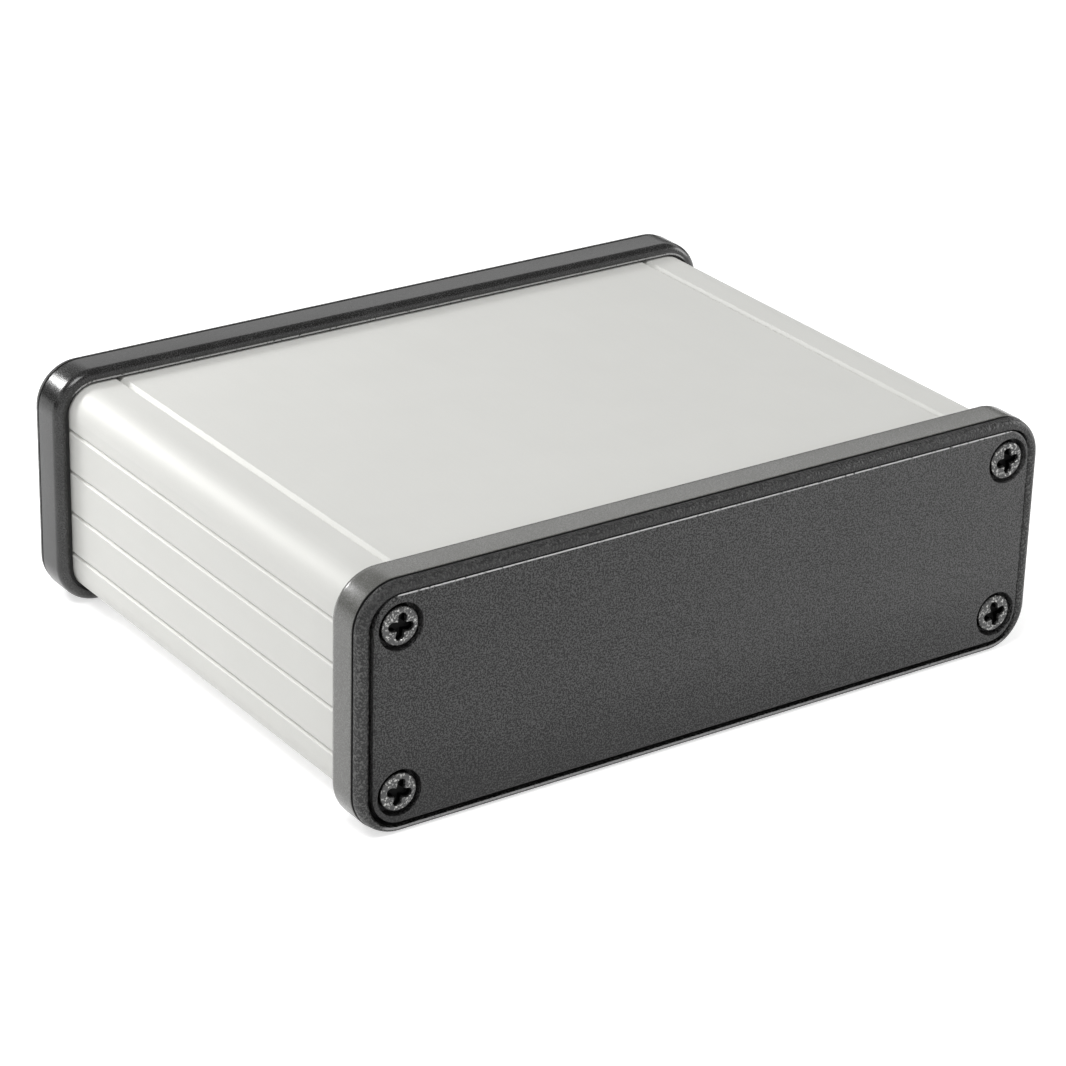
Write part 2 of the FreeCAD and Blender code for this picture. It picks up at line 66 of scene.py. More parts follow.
# %% Arithmetic on shader outputs
class Wire:
    """One output of a shader node. Arithmetic on it adds Math nodes to the same recipe."""

    def __init__(self, recipe, socket):
        self.recipe = recipe
        self.socket = socket

    def sum(self, operation, *values):
        """The Math node for one operation on these values, in their order."""
        return self.recipe.node(
            "ShaderNodeMath", {"operation": operation}, dict(enumerate(values))
        )

    def __add__(self, other):
        return self.sum("ADD", self, other)

    def __radd__(self, other):
        return self.sum("ADD", other, self)

    def __sub__(self, other):
        return self.sum("SUBTRACT", self, other)

    def __rsub__(self, other):
        return self.sum("SUBTRACT", other, self)

    def __mul__(self, other):
        return self.sum("MULTIPLY", self, other)

    def __rmul__(self, other):
        return self.sum("MULTIPLY", other, self)

    def __truediv__(self, other):
        return self.sum("DIVIDE", self, other)

    def __abs__(self):
        return self.sum("ABSOLUTE", self)

    def ramp(self, low, high):
        """0 where this is at or below low, 1 at or above high, and a smooth S between them."""
        return self.recipe.node(
            "ShaderNodeMapRange",
            {"interpolation_type": "SMOOTHSTEP"},
            {"Value": self, "From Min": low, "From Max": high},
        )


class Recipe:
    """A node tree being filled, with one method that adds any node to it."""

    def __init__(self, tree):
        self.tree = tree
        tree.nodes.clear()

    def node(self, kind, settings=None, inputs=None, output=0):
        """Add a node: its settings first, then the value or wire of each named or numbered input."""
        made = self.tree.nodes.new(kind)
        for name, setting in (settings or {}).items():
            setattr(made, name, setting)
        for key, value in (inputs or {}).items():
            if isinstance(value, Wire):
                self.tree.links.new(value.socket, made.inputs[key])
            else:
                made.inputs[key].default_value = value
        return Wire(self, made.outputs[output]) if made.outputs else None

    def place(self, *stretch):
        """Object coordinates, in metres, with each axis stretched by its own factor."""
        here = self.node("ShaderNodeTexCoord", output="Object")
        if not stretch:
            return here
        return self.node("ShaderNodeMapping", inputs={"Vector": here, "Scale": stretch})

    def axes(self):
        """This point's x, y and z as three wires."""
        here = {0: self.place()}
        return [self.node("ShaderNodeSeparateXYZ", inputs=here, output=axis) for axis in range(3)]

    def grain(self, size, detail=2.0, stretch=()):
        """Even noise from 0 to 1 about a half, whose lumps are about this size in metres."""
        return self.node(
            "ShaderNodeTexNoise",
            {"noise_dimensions": "3D"},
            {"Vector": self.place(*stretch), "Scale": 1 / size, "Detail": detail, "Roughness": 0.55},
        )

    def blend(self, share, first, second):
        """The first colour where share is 0 and the second where it is 1."""
        inputs = {"Factor": share, 6: first, 7: second}
        return self.node("ShaderNodeMix", {"data_type": "RGBA"}, inputs, 2)

    def relief(self, depth):
        """The normal of a surface raised by this depth in metres."""
        return self.node("ShaderNodeBump", inputs={"Height": depth, "Strength": 1.0, "Distance": 1.0})


def finish(name, **sockets):
    """A material whose recipe is filled by the caller; sockets are constants of its shader."""
    material = bpy.data.materials.new(name)
    material.use_nodes = True
    recipe = Recipe(material.node_tree)
    shader = recipe.node("ShaderNodeBsdfPrincipled", inputs=sockets, output="BSDF")
    recipe.node("ShaderNodeOutputMaterial", inputs={"Surface": shader})
    recipe.shader = shader.socket.node
    return material, recipe


def feed(recipe, **wires):
    """Lead wires into the shader's own sockets, named with underscores for spaces."""
    for name, wire in wires.items():
        recipe.tree.links.new(wire.socket, recipe.shader.inputs[name.replace("_", " ")])


def grey(level, warmth=0.0):
    """A grey of this linear level. Warmth takes that share away from its blue."""
    return (level, level, level * (1 - warmth), 1.0)


print("a warm middle grey:", grey(0.5, 0.1))

# %% [markdown]
# The extrusion and its cover are drawn through a die, etched to a fine matt and anodised clear. The
# etch scatters each reflection and the clear oxide over it scatters a share of the light evenly,
# like a pale paint, so the shader mixes metal with that even share. The die leaves very faint
# lines along Y. Painting the lines would look printed: here they change how rough the metal is and
# tilt its surface by about a micrometre, as they really do, and a rounder grain is the etch.

# %% Satin anodised aluminium
ALUMINIUM = 0.665
ALUMINIUM_WARMTH = 0.038
TONE_SPREAD = 0.07
METAL_SHARE = 0.25
SATIN = 0.60
LINE_SPACING = 0.35 * MM
LINE_STRETCH = 0.004
LINE_DEPTH = 0.0012 * MM
ETCH_SIZE = 0.12 * MM
ETCH_DEPTH = 0.0015 * MM


def satin_aluminium():
    """Metal and an even share of pale paint, with drawing lines, etch and a slow cloud."""
    material, recipe = finish("satin_aluminium", Metallic=METAL_SHARE, IOR=1.4)
    lines = recipe.grain(LINE_SPACING, detail=3.0, stretch=(1, LINE_STRETCH, 1))
    etch = recipe.grain(ETCH_SIZE, detail=1.0)
    cloud = recipe.grain(9 * MM, detail=2.0)
    tone = (lines - 0.5) * 0.25 + (etch - 0.5) * 0.4 + (cloud - 0.5) * 0.3 + 0.5
    darker = grey(ALUMINIUM * (1 - TONE_SPREAD), ALUMINIUM_WARMTH)
    paler = grey(ALUMINIUM * (1 + TONE_SPREAD), ALUMINIUM_WARMTH)
    feed(
        recipe,
        Base_Color=recipe.blend(tone, darker, paler),
        Roughness=SATIN + (lines - 0.5) * 0.10 + (etch - 0.5) * 0.06,
        Normal=recipe.relief((lines - 0.5) * LINE_DEPTH + (etch - 0.5) * ETCH_DEPTH),
    )
    return material


aluminium = satin_aluminium()
print("aluminium nodes:", len(aluminium.node_tree.nodes))

# %% [markdown]
# The frames are one moulding with two skins. The broad band round the end comes from a polished
# part of the mould and is a smooth mid grey. The shoulder in front of it was spark eroded, so it
# is dark and covered in pits of a third of a millimetre that glitter where they face the light.
# One material does both. Which skin a point has is marked on the mesh itself, ring by ring, when
# the frame's grid is made further down, together with painted shade, near black, in the neck between
# the two skins and in the gaps, and a painted highlight on thin edges at the top and the bottom. The
# front band is painted much paler than the rear one, as painted light and shade, and the shoulder is
# painted darker along its upper side as painted shade.

# %% Two skins of one moulding
# Painted light and shade: the front band's greys are paler and the rear band's darker, on one moulding.
LIT_AND_SHADED_BAND_GREY = {"front": 0.095, "rear": 0.008}
LIT_AND_SHADED_FLECK_GREY = {"front": 0.34, "rear": 0.13}
# Painted shade: the shoulder's grey is darker high up than low down.
SHOULDER_GREY_SHADED_ABOVE = {"low": 0.080, "high": 0.032}
# Painted shade: near black for the neck groove, the socket and the foot of the window.
NECK_AND_GAP_SHADE_GREY = 0.002
# Painted highlight along thin edges at the top and the bottom.
EDGE_HIGHLIGHT_GREY = 0.30
SPARK_SIZE = 0.30 * MM
SPARK_DEPTH = 0.20 * MM
FLECK_SIZE = 0.16 * MM
BAND_SHEEN = 0.23
MARKS = "section_marks"


def frame_plastic():
    """The band's and the shoulder's skins, blended by the marks on the mesh."""
    material, recipe = finish("frame_plastic", IOR=1.5)
    across, along, up = recipe.axes()
    marks = recipe.node("ShaderNodeAttribute", {"attribute_name": MARKS}, output="Vector")
    shoulder, neck, edge = (
        recipe.node("ShaderNodeSeparateXYZ", inputs={0: marks}, output=axis) for axis in range(3)
    )
    pits = recipe.grain(SPARK_SIZE, detail=3.0)
    fine = recipe.grain(FLECK_SIZE, detail=2.0)
    cloud = recipe.grain(6 * MM, detail=2.0)
    # Painted light and shade: the band goes from the paler front greys to the darker rear greys.
    lit_to_shaded_share = along.ramp(-5 * MM, 5 * MM)
    band = recipe.blend(lit_to_shaded_share, grey(LIT_AND_SHADED_BAND_GREY["front"], 0.08), grey(LIT_AND_SHADED_BAND_GREY["rear"], 0.04))
    fleck = recipe.blend(lit_to_shaded_share, grey(LIT_AND_SHADED_FLECK_GREY["front"]), grey(LIT_AND_SHADED_FLECK_GREY["rear"]))
    band = recipe.blend((fine - 0.5) * 1.3 + (cloud - 0.5) * 0.3 + 0.06, band, fleck)
    # Painted shade: the shoulder darkens towards its top.
    shade_above = up.ramp(26 * MM, 32 * MM)
    speck = recipe.blend(shade_above, grey(SHOULDER_GREY_SHADED_ABOVE["low"], 0.03), grey(SHOULDER_GREY_SHADED_ABOVE["high"], 0.03))
    dark = recipe.blend(pits.ramp(0.48, 0.60), grey(0.0), speck)
    skin = recipe.blend(shoulder, band, dark)
    # Painted highlight: the marked edges are paler at the top and the bottom only.
    at_top = up.ramp(31 * MM, 32 * MM) * (1 - shoulder)
    at_bottom = 1 - up.ramp(1.0 * MM, 1.6 * MM)
    painted_edge_highlight = edge * (at_top + at_bottom) * pits.ramp(0.28, 0.45)
    skin = recipe.blend(painted_edge_highlight, skin, grey(EDGE_HIGHLIGHT_GREY))
    feed(
        recipe,
        # Painted shade: the neck mark blends in near black.
        Base_Color=recipe.blend(neck, skin, grey(NECK_AND_GAP_SHADE_GREY)),
        Roughness=BAND_SHEEN + shoulder * 0.10 + neck * 0.4 + (cloud - 0.5) * 0.05 + (fine - 0.5) * 0.12,
        Normal=recipe.relief(
            (pits - 0.5) * (shoulder * SPARK_DEPTH + 0.003 * MM) + (fine - 0.5) * (0.006 * MM)
        ),
    )
    return material


plastic = frame_plastic()
print("frame plastic nodes:", len(plastic.node_tree.nodes))

# %% [markdown]
# Each panel is a separate plate with one even spark-eroded grain, finer than the shoulder's. It
# scatters so widely that the plate looks paler than the shoulder, though both are the same plastic.
# Its upper edge carries a painted highlight, and the plate is painted paler towards its top and towards
# the right as seen from outside, as painted light.

# %% Fine-grained panel
PANEL_PALE = 0.129
PANEL_GRAIN = 0.22 * MM
PANEL_GRAIN_DEPTH = 0.04 * MM
# Painted highlight on the plate's upper edge.
PANEL_EDGE_HIGHLIGHT = 0.5
panel_low, panel_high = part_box("front_panel")
panel_face = abs(panel_low.y)


def panel_plastic():
    """Black with pale grains, and painted light that makes it paler towards the top and the right as seen
    from outside.
    """
    material, recipe = finish("panel_plastic", IOR=1.42)
    across, along, up = recipe.axes()
    pits = recipe.grain(PANEL_GRAIN, detail=2.0)
    coarse = recipe.grain(0.45 * MM, detail=1.0)
    cloud = recipe.grain(14 * MM, detail=2.0)
    side = along / abs(along)
    # Painted light: the plate gets paler towards its top and towards the right as seen from outside.
    painted_light_drift = up.ramp(1 * MM, 15 * MM) * 0.22 - across * side * (0.12 / 50 / MM)
    tone = painted_light_drift - 0.15 + pits.ramp(0.42, 0.58) * 0.62 + (coarse - 0.5) * 0.4 + (cloud - 0.5) * 0.1
    skin = recipe.blend(tone, grey(0.0), grey(PANEL_PALE))
    # Painted highlight along the plate's upper outer edge.
    upper_edge = up.ramp(panel_high.z - 0.16 * MM, panel_high.z - 0.08 * MM)
    outer_edge = abs(along).ramp(panel_face - 0.3 * MM, panel_face - 0.22 * MM)
    painted_edge_highlight = upper_edge * outer_edge * coarse.ramp(0.25, 0.45)
    feed(
        recipe,
        Base_Color=recipe.blend(painted_edge_highlight, skin, grey(PANEL_EDGE_HIGHLIGHT)),
        Roughness=0.55 + (pits - 0.5) * 0.2,
        Normal=recipe.relief((pits - 0.5) * PANEL_GRAIN_DEPTH),
    )
    return material


panel = panel_plastic()
print("panel nodes:", len(panel.node_tree.nodes))

# %% [markdown]
# The screws are blackened steel. The blacking is a thin rough skin of oxide, worn to grey in
# specks where a driver or another screw has rubbed it, and left whole and black inside the cross
# and on the shank. A mask on how far the point lies along Y tells the rubbed top from the rest.

# %% Blackened steel
BLACKING = {"hidden": 0.012, "top": 0.09}
WORN_GREY = 0.50
SPECK_SIZE = 0.30 * MM
SPECK_DEPTH = 0.05 * MM
screw_low, screw_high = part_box("front_screw_1")
head_top = abs(screw_low.y)


def black_steel():
    """Black oxide, worn to grey specks on the top of the head only."""
    material, recipe = finish("black_screw", Metallic=1.0)
    across, along, up = recipe.axes()
    rubbed_top = abs(along).ramp(head_top - 0.62 * MM, head_top - 0.34 * MM)
    specks = recipe.grain(SPECK_SIZE, detail=2.0)
    worn = specks.ramp(0.50, 0.70)
    top = recipe.blend(worn, grey(BLACKING["top"]), grey(WORN_GREY, 0.03))
    feed(
        recipe,
        Base_Color=recipe.blend(rubbed_top, grey(BLACKING["hidden"]), top),
        Roughness=0.45 - worn * rubbed_top * 0.12,
        Normal=recipe.relief((specks - 0.5) * SPECK_DEPTH),
    )
    return material


steel = black_steel()
print("steel nodes:", len(steel.node_tree.nodes))

# %% [markdown]
# The extrusion and its cover stay as the solids that they are and only need their finish. Each has
# one surface all over and takes one material, so its mesh's slots are cleared and filled again.

# %% Dress the solids
DRESSED = ("body_extrusion", "cover_plate")
for name in DRESSED:
    nodes[name].data.materials.clear()
    nodes[name].data.materials.append(aluminium)
print("dressed:", ", ".join(DRESSED))

# %% [markdown]
# A frame is a ring: one cross section carried round a rectangle with round corners. The section
# has everything that catches the light: the quarter round of the rim that sits on the extrusion,
# the socket behind it, the window for the panel, the rounded crest of the shoulder and the narrow
# neck that parts shoulder from band. The plain solid has these as bevels with few faces, which is
# right for a part in a library, but a highlight runs over them in steps. So the frame is made
# again as a grid. One parameter picks the ring, from the rim inwards and round to the rim again;
# the other picks the point along that ring. A bevel modifier would round all edges alike, and
# here each one has its own curve.

# %% Rings with round corners
CORNER_POINTS = 17
OUTER_CORNER = 6.15 * MM


def rounded_rings(half_width, half_height, radius, out, lift):
    """One ring for each entry of the five arrays, at y = -out.

    Round each corner of the ring x = +-(half width - radius) + radius cos t and
    z = lift +-(half height - radius) + radius sin t, with t over that corner's quarter turn.
    """
    quarter = np.linspace(0, math.pi / 2, CORNER_POINTS)
    turn = (quarter[None, :] + np.arange(4)[:, None] * math.pi / 2).ravel()[None, :]
    side_x = np.repeat([1, -1, -1, 1], CORNER_POINTS)[None, :]
    side_z = np.repeat([1, 1, -1, -1], CORNER_POINTS)[None, :]
    half_width, half_height, radius, out, lift = (
        a[:, None] for a in (half_width, half_height, radius, out, lift)
    )
    x = side_x * (half_width - radius) + radius * np.cos(turn)
    z = lift + side_z * (half_height - radius) + radius * np.sin(turn)
    return np.stack([x, -out + 0 * x, z], axis=-1)


print("points in one ring:", 4 * CORNER_POINTS)

# %% [markdown]
# The section starts where the rim meets the band. It goes over the rim into the socket, past the
# ledge, the flange and the panel's seat, up the window's wall to the crest, and down the shoulder
# and the neck to the band again. A ring is written as its insets from the outline, at the sides, the
# top and the bottom, and its distance out from the middle of the case. Three marks go with it for
# the material. Painting them on the finished mesh would work too, but here a ring knows what it is.

# %% The frame's cross section
# Distances out from the middle of the case, in mm
MOUTH = 35.0
LEDGE = 35.4
RIM_START = 36.35
FLANGE_BACK = 38.0
SEAT = 39.0
BAND_END = 40.03
NECK_BACK = 40.11
NECK_FRONT = 40.44
SHOULDER_FOOT = 40.55
WALL_END = 40.9
CREST = 41.7
# Insets from the outline at the sides, the top and the bottom, in mm
RIM_INSET = 1.24
MOUTH_INSET = 1.28
SOCKET = (1.40, 1.5, 1.5)
LEDGE_INSETS = (2.10, 1.8, 1.8)
FLANGE_HOLE = (4.25, 4.1, 4.1)
WINDOW = (2.00, 1.5, 0.95)
CREST_INNER = (1.07, 1.42, 0.87)
LIP_INNER = (1.05, 1.38, 0.62)
LIP_OUTER = (1.04, 0.98, 0.56)
CREST_OUTER = (1.03, 0.97, 0.52)
SHOULDER_INSET = 0.1
NECK_INSET = 0.42
BAND_INSET = 0.07
# A step just long enough to end one skin and start the next, in mm
STEP = 0.01
# The columns of a section in which the marks are
NECK_SHADE_MARK, EDGE_HIGHLIGHT_MARK = 6, 7


def even(inset, out):
    """The same inset all round, at this distance out."""
    return (inset, inset, inset, out)


def quarter_round(start, end, steps, out_first):
    """A quarter of an ellipse from start to end, each (side, top, bottom, out).

    With t from 0 to a quarter turn, the distance out goes as sin t and the insets as 1 - cos t if
    out_first, and else the other way round.
    """
    turn = np.linspace(0, math.pi / 2, steps)
    rise, lag = np.sin(turn), 1 - np.cos(turn)
    inset_share, out_share = (lag, rise) if out_first else (rise, lag)
    share = np.stack([inset_share, inset_share, inset_share, out_share], axis=-1)
    return np.array(start) + (np.array(end) - np.array(start)) * share


def frame_section(half_width, half_height):
    """Half width, half height, corner radius, distance out, lift and three marks of every ring.

    With unlike insets at top and bottom a ring's middle is lifted by half their difference. The
    marks say how much of the shoulder's skin, of the neck mark's painted shade and of the painted
    edge highlight a ring has.
    """
    def rings(corners, shoulder=0, neck=0, edge=0):
        """A row for each (side, top, bottom, out) of corners, all with the same marks."""
        side, top, bottom, out = np.array(corners, dtype=float).T
        half_sizes = [half_width - side, half_height - (top + bottom) / 2]
        shape = np.stack([*half_sizes, OUTER_CORNER / MM - side, out, (bottom - top) / 2], axis=-1)
        return np.hstack([shape, np.tile([shoulder, neck, edge], (len(side), 1))])

    rim = rings(quarter_round(even(0, RIM_START), even(RIM_INSET, MOUTH), 10, out_first=True))
    # The mouth's rings take the edge mark, which paints a highlight on them at the top and the bottom.
    mouth = rings([even(MOUTH_INSET, MOUTH), (*SOCKET, MOUTH)], edge=1)
    # The socket's rings take the neck mark, which paints shade into them.
    socket = rings([
        (*SOCKET, MOUTH + 2 * STEP), (*SOCKET, LEDGE), (*LEDGE_INSETS, LEDGE),
        (*LEDGE_INSETS, FLANGE_BACK), (*FLANGE_HOLE, FLANGE_BACK), (*FLANGE_HOLE, SEAT),
    ], neck=1)
    seat = rings([(*WINDOW, SEAT)], shoulder=1, neck=1)
    inner = quarter_round((*WINDOW, WALL_END), (*CREST_INNER, CREST), 9, out_first=True)
    crest = rings(inner, shoulder=1)
    # The foot of the window's wall takes the neck mark too: painted shade fading upwards.
    crest[:3, NECK_SHADE_MARK] = (1, 0.8, 0.4)
    # The crest's last rings, and below them the lip's first ring, take the edge mark: a painted highlight
    # at the bottom.
    crest[-2:, EDGE_HIGHLIGHT_MARK] = 1
    lip = rings([(*LIP_INNER, CREST), (*LIP_OUTER, CREST)], shoulder=1)
    lip[0, EDGE_HIGHLIGHT_MARK] = 1
    outer = quarter_round((*CREST_OUTER, CREST), even(SHOULDER_INSET, SHOULDER_FOOT), 13, out_first=False)
    shoulder = rings(outer, shoulder=1)
    neck = rings([
        even(SHOULDER_INSET, NECK_FRONT + STEP), even(NECK_INSET, NECK_FRONT),
        even(NECK_INSET, NECK_BACK), even(BAND_INSET, NECK_BACK),
    ], shoulder=1, neck=1)
    band = rings([even(BAND_INSET, NECK_BACK - STEP), even(0, BAND_END)])
    section = np.concatenate([rim, mouth, socket, seat, crest, lip, shoulder, neck, band])
    return section * ([MM] * 5 + [1] * 3)


frame_low, frame_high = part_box("front_frame")
section = frame_section((frame_high.x - frame_low.x) / 2 / MM, (frame_high.z - frame_low.z) / 2 / MM)
print("rings in the section:", len(section))

# %% [markdown]
# Points on a grid that is closed both ways need no caps: the last ring joins the first, as on a
# torus. The signed volume of the mesh shows at once whether its faces point outwards, which the eye
# may miss. The marks become an attribute of the points, and the rear frame is the front one turned
# half a turn about the upright axis, so that its faces still point outwards.

# %% Both frames
def ring_shaped_mesh(name, points):
    """Quads between each ring and the next, closed round the ring and from the last to the first."""
    rings, around = points.shape[:2]
    here = np.arange(rings)[:, None] * around + np.arange(around)[None, :]
    beside = np.roll(here, -1, axis=1)
    ahead = np.roll(here, -1, axis=0)
    across = np.roll(beside, -1, axis=0)
    quads = np.stack([here, ahead, across, beside], axis=-1).reshape(-1, 4)
    mesh = bpy.data.meshes.new(name)
    mesh.from_pydata(points.reshape(-1, 3).tolist(), [], quads.tolist())
    mesh.shade_smooth()
    mesh.set_sharp_from_angle(angle=math.radians(32))
    return mesh


def point_places(mesh):
    """The places of the mesh's points as an array with a row for each."""
    points = np.empty(len(mesh.vertices) * 3)
    mesh.vertices.foreach_get("co", points)
    return points.reshape(-1, 3)


def signed_volume(mesh):
    """The volume by the sum of a . (b x c) / 6 over its triangles; negative if it is inside out."""
    mesh.calc_loop_triangles()
    triangles = np.empty(len(mesh.loop_triangles) * 3, dtype=np.int32)
    mesh.loop_triangles.foreach_get("vertices", triangles)
    corners = point_places(mesh)[triangles.reshape(-1, 3)]
    return float(np.einsum("ij,ij->", corners[:, 0], np.cross(corners[:, 1], corners[:, 2])) / 6)


def make_frame(end):
    """The rounded frame in the place of one end's plain solid."""
    low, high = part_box(end + "_frame")
    points = rounded_rings(*section.T[:5])
    if end == "rear":
        points = points * (-1, -1, 1)
    points = points + (0, 0, (low.z + high.z) / 2)
    mesh = ring_shaped_mesh(end + "_frame_rounded", points)
    marks = mesh.attributes.new(MARKS, "FLOAT_VECTOR", "POINT")
    marks.data.foreach_set("vector", np.repeat(section[:, 5:], points.shape[1], axis=0).ravel())
    mesh.materials.append(plastic)
    moulding = bpy.data.objects.new(mesh.name, mesh)
    bpy.context.scene.collection.objects.link(moulding)
    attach(moulding, "root")
    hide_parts(end + "_frame")
    print(f"{mesh.name}: {len(mesh.polygons)} faces, {signed_volume(mesh) * 1e6:.2f} cm3")


for end in ENDS:
    make_frame(end)

# %% [markdown]
# Each panel stands a little inside its window, with a dark gap down both sides. Its solid has the
# plate and the four wells just as they are, so a copy of it will do, with its corners merged. In
# that copy only the outline moves: a rounded rectangle's distance field finds the corners that
# lie on it and says which way is in. Scaling the plate would have moved the wells as well.

# %% Panels with a gap down the sides
PANEL_CORNER = 4.4 * MM
SIDE_GAP = 0.42 * MM


def drawn_in(points, middle, half_width, half_height):
    """Moves the points on the outline in by SIDE_GAP times the sideways part of its normal.

    With q = |p| - (half size - radius), the distance inside is radius - |max(q, 0)|, and the
    normal is max(q, 0) / |max(q, 0)| with the signs of p.
    """
    flat = points[:, [0, 2]] - middle
    corner = np.maximum(np.abs(flat) - (np.array([half_width, half_height]) - PANEL_CORNER), 0)
    reach = np.linalg.norm(corner, axis=1)
    on_outline = reach > PANEL_CORNER - 0.4 * MM
    sideways = np.sign(flat[:, 0]) * corner[:, 0] / np.maximum(reach, 1e-9)
    moved = points.copy()
    moved[:, 0] -= SIDE_GAP * sideways * on_outline
    return moved, int(on_outline.sum())


def make_panel(end):
    """A copy of one end's panel, merged and drawn in at the sides."""
    low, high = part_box(end + "_panel")
    shell = bmesh.new()
    shell.from_mesh(nodes[end + "_panel"].data)
    bmesh.ops.remove_doubles(shell, verts=shell.verts, dist=0.001 * MM)
    mesh = bpy.data.meshes.new(end + "_panel_plate")
    shell.to_mesh(mesh)
    shell.free()
    middle = np.array([(low.x + high.x) / 2, (low.z + high.z) / 2])
    moved, count = drawn_in(point_places(mesh), middle, (high.x - low.x) / 2, (high.z - low.z) / 2)
    mesh.vertices.foreach_set("co", moved.ravel())
    if "custom_normal" in mesh.attributes:
        mesh.attributes.remove(mesh.attributes["custom_normal"])
    mesh.shade_flat()
    mesh.materials.clear()
    mesh.materials.append(panel)
    plate = bpy.data.objects.new(mesh.name, mesh)
    bpy.context.scene.collection.objects.link(plate)
    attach(plate, "root")
    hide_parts(end + "_panel")
    print(f"{mesh.name}: {count} of {len(moved)} corners drawn in, {signed_volume(mesh) * 1e6:.2f} cm3")


for end in ENDS:
    make_panel(end)

# %% [markdown]
# A pan-head screw is a turned part with two forms that aren't turned: the cross pressed into its
# head and the thread rolled on its shank. Both are still one closed skin, so the whole screw is a
# single grid: one parameter runs round the axis, the other along the profile from the middle of
# the head, over the rim, under the head and down the shank to the tip. The cross lowers the head
# wherever a point lies inside the shape of a plus with round ends, and the thread moves the
# radius in and out with a ridge that climbs one pitch a turn. Cutting the cross with a boolean
# would do too, but it leaves long thin faces that shade badly.

# %% The surface of a screw
AROUND = 128
TOP_RINGS = 46
RIM_RINGS = 10
SHANK_RINGS = 110
HEAD_ROUND = 0.4 * MM
HEAD_DOME = 0.22 * MM
CROSS_SPAN = 3.7 * MM
CROSS_ARM = 1.25 * MM
CROSS_DEPTH = 1.3 * MM
CROSS_WALL = 0.14 * MM
SHANK_RADIUS = 1.45 * MM
THREAD_DEPTH = 0.28 * MM
THREAD_PITCH = 1.06 * MM
THREAD_RUN_IN = (0.3 * MM, 0.9 * MM)
TAPER_LENGTH = 1.6 * MM
TIP_RADIUS = 0.5 * MM
EDGE_BREAK = 0.02 * MM


def smooth(low, high, x):
    """0 below low, 1 above high, and 3t^2 - 2t^3 between them."""
    share = np.clip((x - low) / (high - low), 0, 1)
    return share * share * (3 - 2 * share)


def cross_depth(x, z):
    """How deep the cross is at (x, z): full inside a plus of two round-ended bars, 0 outside.

    The distance to a bar's middle line is hypot(max(|x| - reach, 0), z), and the floor rises by a
    quarter from the middle to the ends.
    """
    half_bar = CROSS_ARM / 2
    reach = CROSS_SPAN / 2 - half_bar
    to_flat_bar = np.hypot(np.maximum(np.abs(x) - reach, 0), z)
    to_tall_bar = np.hypot(np.maximum(np.abs(z) - reach, 0), x)
    distance = np.minimum(to_flat_bar, to_tall_bar)
    floor = CROSS_DEPTH * (1 - 0.25 * np.hypot(x, z) / (CROSS_SPAN / 2))
    return floor * (1 - smooth(half_bar - CROSS_WALL, half_bar, distance))


def screw_rings(head_radius, head_height, length):
    """The profile as (radius, y, thread share) rings; y = 0 is under the head and -y is outwards."""
    flat = head_radius - HEAD_ROUND
    top_radius = np.linspace(0, flat, TOP_RINGS)
    top_y = -head_height + HEAD_DOME * (top_radius / head_radius) ** 2
    turn = np.linspace(0, math.pi / 2, RIM_RINGS)[1:]
    rim_radius = flat + HEAD_ROUND * np.sin(turn)
    rim_y = top_y[-1] + HEAD_ROUND * (1 - np.cos(turn))
    under_radius = [head_radius, head_radius - EDGE_BREAK, SHANK_RADIUS + EDGE_BREAK, SHANK_RADIUS]
    under_y = [-EDGE_BREAK, 0, 0, EDGE_BREAK]
    shank_y = np.linspace(EDGE_BREAK, length - EDGE_BREAK, SHANK_RINGS)[1:]
    taper = smooth(length - TAPER_LENGTH, length, shank_y)
    shank_radius = SHANK_RADIUS - (SHANK_RADIUS - TIP_RADIUS) * taper
    radius = np.concatenate([top_radius, rim_radius, under_radius, shank_radius, [TIP_RADIUS * 0.9, 0.0]])
    along = np.concatenate([top_y, rim_y, under_y, shank_y, [length, length]])
    share = np.zeros(len(radius))
    share[-2 - len(shank_y):-2] = smooth(*THREAD_RUN_IN, shank_y) * (1 - taper)
    return radius, along, share


def screw_points(head_radius, head_height, length):
    """Every ring turned about Y, lowered by the cross inside the head and thinned by the thread.

    A point's turns are y / pitch - angle / (a full turn). The thread stands where they are a whole
    number, and the groove beside it is deepest half-way between two of them.
    """
    radius, along, share = screw_rings(head_radius, head_height, length)
    angle = np.arange(AROUND) * 2 * math.pi / AROUND
    turns = along[:, None] / THREAD_PITCH - angle[None, :] / (2 * math.pi)
    ridge = np.abs(2 * (turns % 1.0) - 1)
    out = radius[:, None] - share[:, None] * THREAD_DEPTH * (1 - smooth(0.35, 0.95, ridge))
    x = out * np.cos(angle)
    z = out * np.sin(angle)
    on_top = (along < -head_height / 2)[:, None]
    y = along[:, None] + np.where(on_top, cross_depth(x, z), 0)
    return np.stack([x, y, z], axis=-1)


print("points round a screw:", AROUND)

# %% [markdown]
# The grid of a screw is closed round the axis, and at both ends its ring shrinks to one point. Each
# such pole is kept once and closed with a fan of triangles. The eight screws are the same surface,
# but nobody stops a driver at the same angle twice, so each head has its own turn. Linked copies
# would save memory, but every piece here has its place in its mesh.

